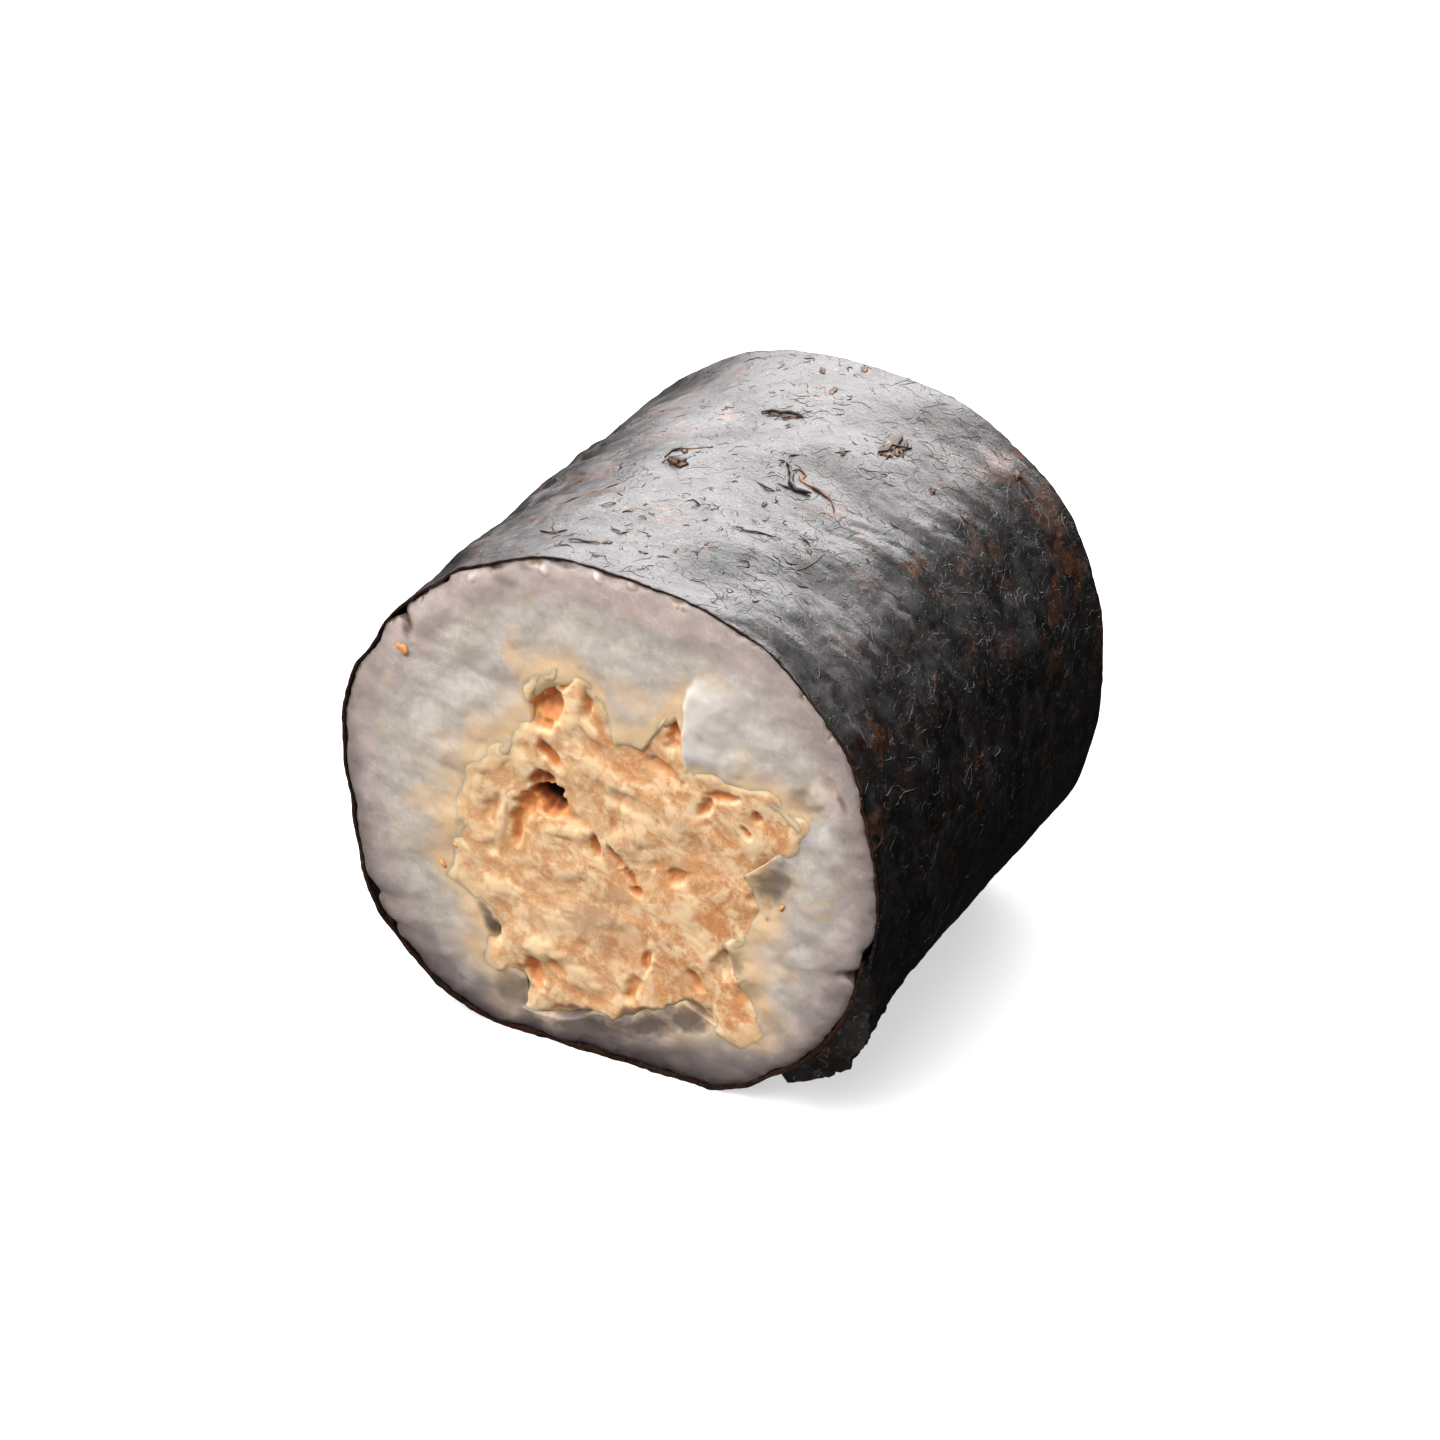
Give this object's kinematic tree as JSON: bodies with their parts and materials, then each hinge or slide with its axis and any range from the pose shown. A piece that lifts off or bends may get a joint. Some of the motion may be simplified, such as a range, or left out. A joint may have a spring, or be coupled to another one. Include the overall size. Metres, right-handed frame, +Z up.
{
  "type": "cooked tuna maki",
  "caption": "One cut piece of rolled sushi lying on its side: a nori sheet lapped round sushi rice, with flaked cooked tuna through the middle.",
  "frame": {"origin": "bottom centre of the roll's box, on the surface that the piece lies on", "axes": "+Z up, +Y along the roll away from the cut face that the picture shows, +X to the right of that face"},
  "size_m": [0.0305, 0.0262, 0.0283],
  "materials": {
    "nori": "toasted seaweed, near black, satin with a broad pale sheen",
    "rice": "cooked sushi rice, translucent greyish white, moist",
    "tuna": "flaked cooked tuna, beige orange, moist"
  },
  "bodies": {
    "root": {"nori": "nori", "rice": "rice", "tuna_filling": "tuna"}
  },
  "joints": []
}
